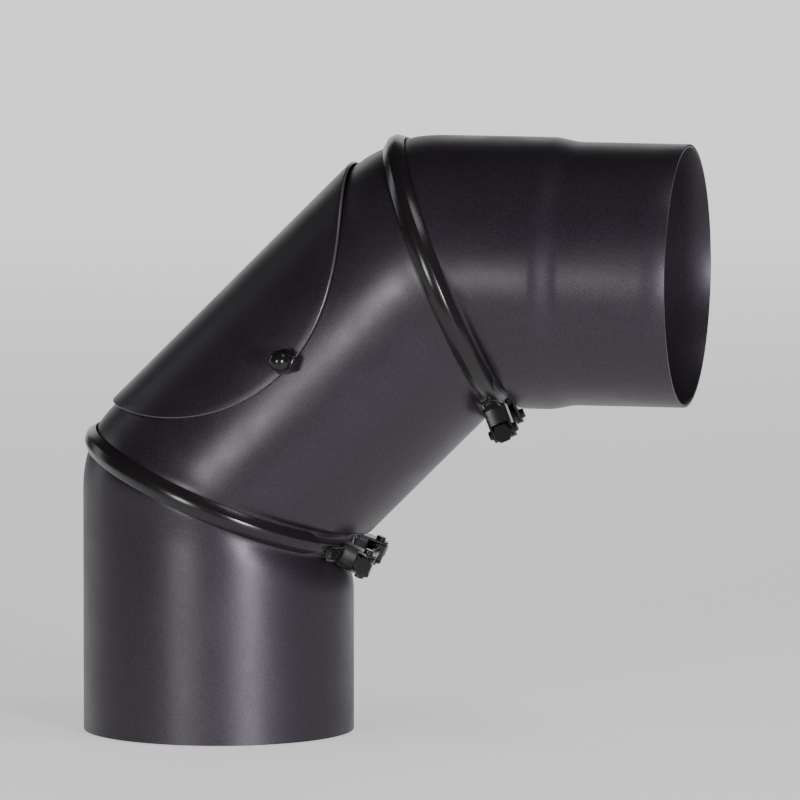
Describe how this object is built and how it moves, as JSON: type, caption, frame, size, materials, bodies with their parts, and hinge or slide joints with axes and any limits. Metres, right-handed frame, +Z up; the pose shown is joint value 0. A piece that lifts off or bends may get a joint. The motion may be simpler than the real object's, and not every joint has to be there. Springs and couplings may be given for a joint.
{
  "type": "flue elbow",
  "caption": "Three-piece swivelling stove pipe elbow with clamp-ring joints, an inspection door, a socket end and a spigot end.",
  "frame": {"origin": "centre of the lower pipe's bottom rim", "axes": "+Z up along the lower pipe, +X along the upper pipe towards its open end, -Y towards the side with the bolt heads"},
  "size_m": [0.3477, 0.1876, 0.3417],
  "materials": {
    "pipe_paint": "matt metallic",
    "clamp_paint": "matt metallic",
    "door_paint": "matt metallic",
    "fastener_steel": "satin",
    "packing": "matt"
  },
  "bodies": {
    "lower": {"lower_segment": "pipe_paint", "lower_joint_seal": "packing"},
    "lower_clamp": {"lower_clamp_band": "clamp_paint", "lower_clamp_front_lug": "clamp_paint", "lower_clamp_rear_lug": "clamp_paint", "lower_clamp_front_barrel": "fastener_steel", "lower_clamp_rear_barrel": "fastener_steel", "lower_clamp_nut": "fastener_steel"},
    "lower_bolt": {"lower_clamp_bolt": "fastener_steel"},
    "middle": {"middle_segment": "pipe_paint", "upper_joint_seal": "packing", "front_door_stud": "fastener_steel", "rear_door_stud": "fastener_steel"},
    "upper_clamp": {"upper_clamp_band": "clamp_paint", "upper_clamp_front_lug": "clamp_paint", "upper_clamp_rear_lug": "clamp_paint", "upper_clamp_front_barrel": "fastener_steel", "upper_clamp_rear_barrel": "fastener_steel", "upper_clamp_nut": "fastener_steel"},
    "upper_bolt": {"upper_clamp_bolt": "fastener_steel"},
    "upper": {"upper_segment": "pipe_paint"},
    "door": {"door_cover": "door_paint", "door_gasket": "packing"},
    "front_nut": {"front_door_washer": "fastener_steel", "front_door_nut": "fastener_steel"},
    "rear_nut": {"rear_door_washer": "fastener_steel", "rear_door_nut": "fastener_steel"}
  },
  "joints": [
    {"name": "middle_swivel", "type": "hinge", "parent": "lower", "child": "middle", "pos_m": [0.00143, 0, 0.1375], "axis": [0.3827, 0, 0.9239], "continuous": true},
    {"name": "upper_swivel", "type": "hinge", "parent": "middle", "child": "upper", "pos_m": [0.13288, 0, 0.26437], "axis": [0.9196, 0.0958, 0.3809], "continuous": true},
    {"name": "lower_clamp_turn", "type": "hinge", "parent": "lower", "child": "lower_clamp", "pos_m": [0.00143, 0, 0.1375], "axis": [0.3827, 0, 0.9239], "continuous": true},
    {"name": "upper_clamp_turn", "type": "hinge", "parent": "middle", "child": "upper_clamp", "pos_m": [0.13288, 0, 0.26437], "axis": [0.9196, 0.0958, 0.3809], "continuous": true},
    {"name": "lower_bolt_turn", "type": "hinge", "parent": "lower_clamp", "child": "lower_bolt", "pos_m": [0.08662, 0.00652, 0.0995], "axis": [-0.0644, 0.9976, 0.0267], "continuous": true},
    {"name": "upper_bolt_turn", "type": "hinge", "parent": "upper_clamp", "child": "upper_bolt", "pos_m": [0.16569, 0.00625, 0.17703], "axis": [-0.115, 0.993, 0.0279], "continuous": true},
    {"name": "door_draw_off", "type": "slide", "parent": "middle", "child": "door", "axis": [-0.7071, 0, 0.7071], "range_m": [0, 0.06]},
    {"name": "front_nut_off", "type": "slide", "parent": "middle", "child": "front_nut", "axis": [-0.177, -0.9681, 0.177], "range_m": [0, 0.0201]},
    {"name": "rear_nut_off", "type": "slide", "parent": "middle", "child": "rear_nut", "axis": [-0.177, 0.9681, 0.177], "range_m": [0, 0.0201]}
  ],
  "couplings": [
    {"joint": "front_nut_off", "follows": "door_draw_off", "ratio": 0.33333},
    {"joint": "rear_nut_off", "follows": "door_draw_off", "ratio": 0.33333}
  ]
}
